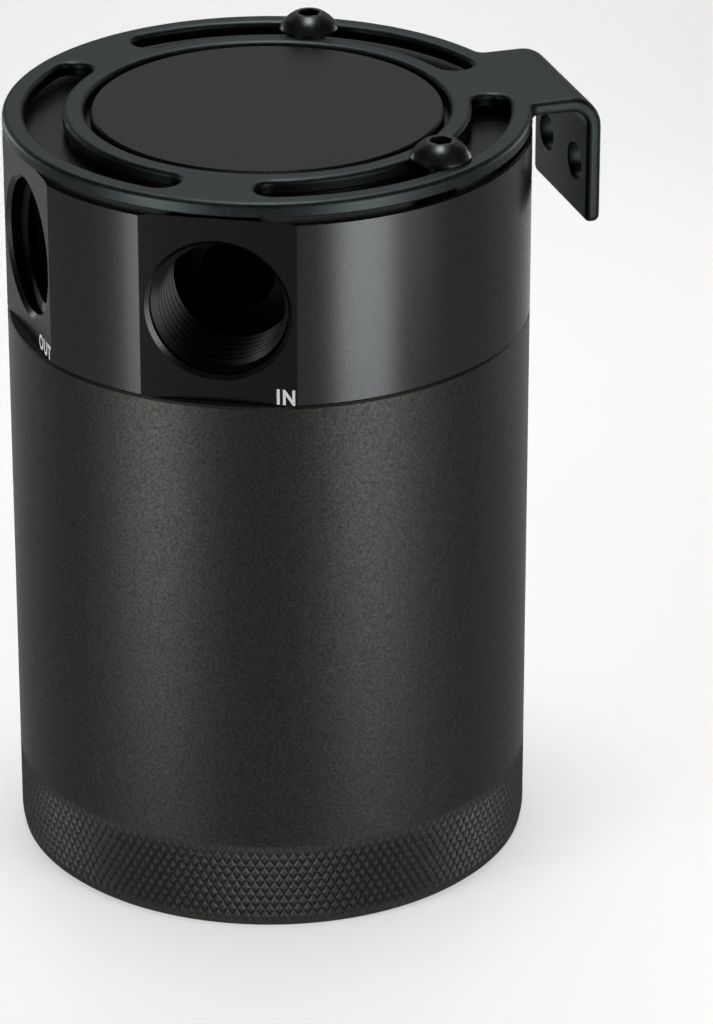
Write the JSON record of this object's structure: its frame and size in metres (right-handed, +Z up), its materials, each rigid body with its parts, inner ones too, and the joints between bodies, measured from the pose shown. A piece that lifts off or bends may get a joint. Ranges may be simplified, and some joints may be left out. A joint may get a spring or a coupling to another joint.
{
  "type": "oil catch can",
  "caption": "Round black oil catch can: knurled cup screwed under a ported head, with a slotted ring bracket and folded tab on top and a bronze breather filter inside.",
  "frame": {"origin": "centre of the cup's flat base, on the body's axis", "axes": "+Z up along the body's axis; +X straight out of the bracket's tab, along its two holes; the outlet port faces within 2 degrees of -X, and the inlet port 60 degrees round from it, towards -Y"},
  "size_m": [0.0714, 0.0638, 0.0976],
  "materials": {
    "can_anodised": "bead-blasted matte black anodised",
    "head_anodised": "turned satin black anodised",
    "bracket_powder_coat": "satin black powder coat",
    "screw_black": "black oxide",
    "seal_rubber": "plain black",
    "washer_copper": "plain copper",
    "filter_brass": "turned",
    "filter_bronze": "sintered beads",
    "inner_aluminium": "as machined",
    "inner_steel": "zinc plated"
  },
  "bodies": {
    "bracket": {"mounting_bracket": "bracket_powder_coat"},
    "head": {"head": "head_anodised", "bracket_screw_front": "screw_black", "bracket_screw_rear": "screw_black", "filter_washer": "washer_copper", "filter_fitting": "filter_brass", "filter_element": "filter_bronze", "inlet_tube": "inner_aluminium", "baffle_plate": "inner_aluminium", "baffle_spacer_front": "inner_aluminium", "baffle_spacer_right": "inner_aluminium", "baffle_spacer_rear": "inner_aluminium", "baffle_screw_front": "inner_steel", "baffle_screw_right": "inner_steel", "baffle_screw_rear": "inner_steel"},
    "seal": {"can_seal": "seal_rubber"},
    "can": {"can": "can_anodised"}
  },
  "joints": [
    {"name": "head_swivel", "type": "hinge", "parent": "bracket", "child": "head", "pos_m": [0, 0, 0.0936], "axis": [0, 0, 1], "range_deg": [-47, 43.4]},
    {"name": "can_lower", "type": "slide", "parent": "head", "child": "seal", "axis": [0, 0, -1], "range_m": [0, 0.0075]},
    {"name": "can_unscrew", "type": "hinge", "parent": "seal", "child": "can", "pos_m": [0, 0, 0.0697], "axis": [0, 0, -1], "range_deg": [0, 1800]}
  ],
  "couplings": [
    {"joint": "can_lower", "follows": "can_unscrew", "m_per_rad": 0.00023873}
  ]
}
